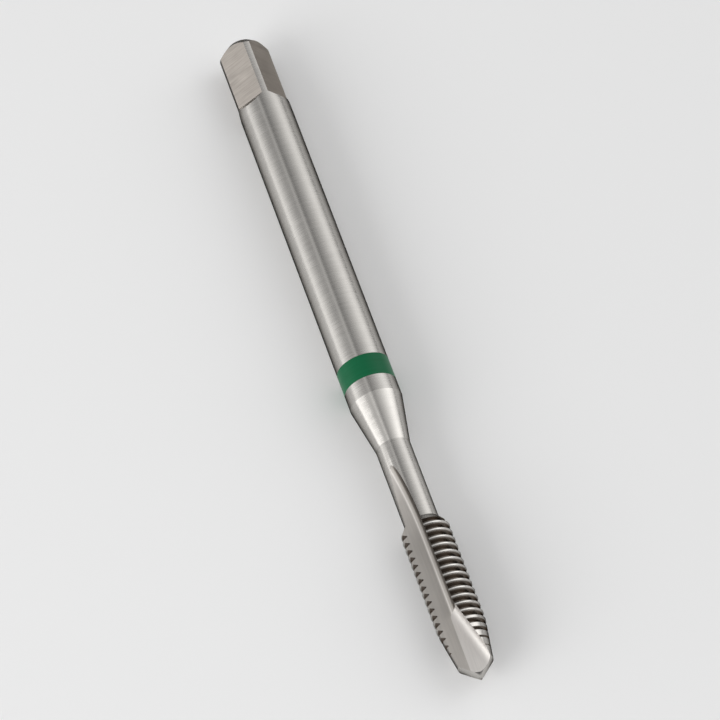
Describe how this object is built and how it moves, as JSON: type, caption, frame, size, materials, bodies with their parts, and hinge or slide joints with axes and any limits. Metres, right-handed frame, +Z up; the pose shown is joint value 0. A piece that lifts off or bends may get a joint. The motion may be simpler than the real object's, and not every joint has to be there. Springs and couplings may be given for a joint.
{
  "type": "thread tap",
  "caption": "Machine tap with a spiral point, a reduced neck behind the thread, a round shank with a green colour ring and a drive square.",
  "frame": {"origin": "centre of the bounding box's bottom, on the table under the middle of the tap's length", "axes": "+X along the tap's axis towards the cutting point, +Z up with the tap lying on its shank, +Y level"},
  "size_m": [0.0644, 0.0044, 0.0045],
  "materials": {
    "steel": "bright ground, with fine grinding marks round the shank",
    "green_lacquer": "thin glossy lacquer"
  },
  "bodies": {
    "root": {"tap": "steel", "colour_ring": "green_lacquer"}
  },
  "joints": []
}
